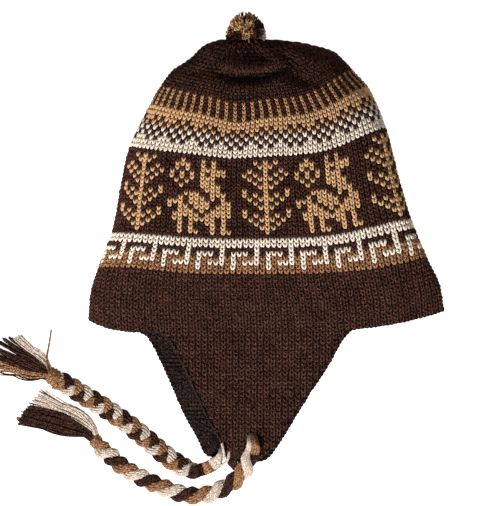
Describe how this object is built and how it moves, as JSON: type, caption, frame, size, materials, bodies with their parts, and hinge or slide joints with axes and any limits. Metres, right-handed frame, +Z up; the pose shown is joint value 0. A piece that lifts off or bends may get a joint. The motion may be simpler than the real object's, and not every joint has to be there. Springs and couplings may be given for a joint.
{
  "type": "knitted chullo hat with braided ties",
  "caption": "Knitted hat with ear flaps, a cut yarn pompom and braided ties that end in tassels, lying on its side.",
  "frame": {"origin": "on the surface that the hat lies on, below the middle of the box round the cap and its pompom", "axes": "+Z up from that surface, +Y from the ear flaps towards the pompom, +X to the right of the wall that faces up"},
  "size_m": [0.3315, 0.3636, 0.0698],
  "materials": {
    "knit": "dark brown wool knit with bands of tan, caramel and cream",
    "pompom_yarn": "cut wool yarn, tan and dark brown",
    "braid_yarn": "braided wool yarn in cream, tan and dark brown",
    "binding_yarn": "wool thread wound round the braid",
    "tassel_yarn": "cut wool yarn in cream, tan and dark brown"
  },
  "bodies": {
    "root": {"cap": "knit", "pompom": "pompom_yarn", "tie_near": "braid_yarn", "tie_far": "braid_yarn", "binding_near": "binding_yarn", "binding_far": "binding_yarn", "tassel_near": "tassel_yarn", "tassel_far": "tassel_yarn"}
  },
  "joints": []
}
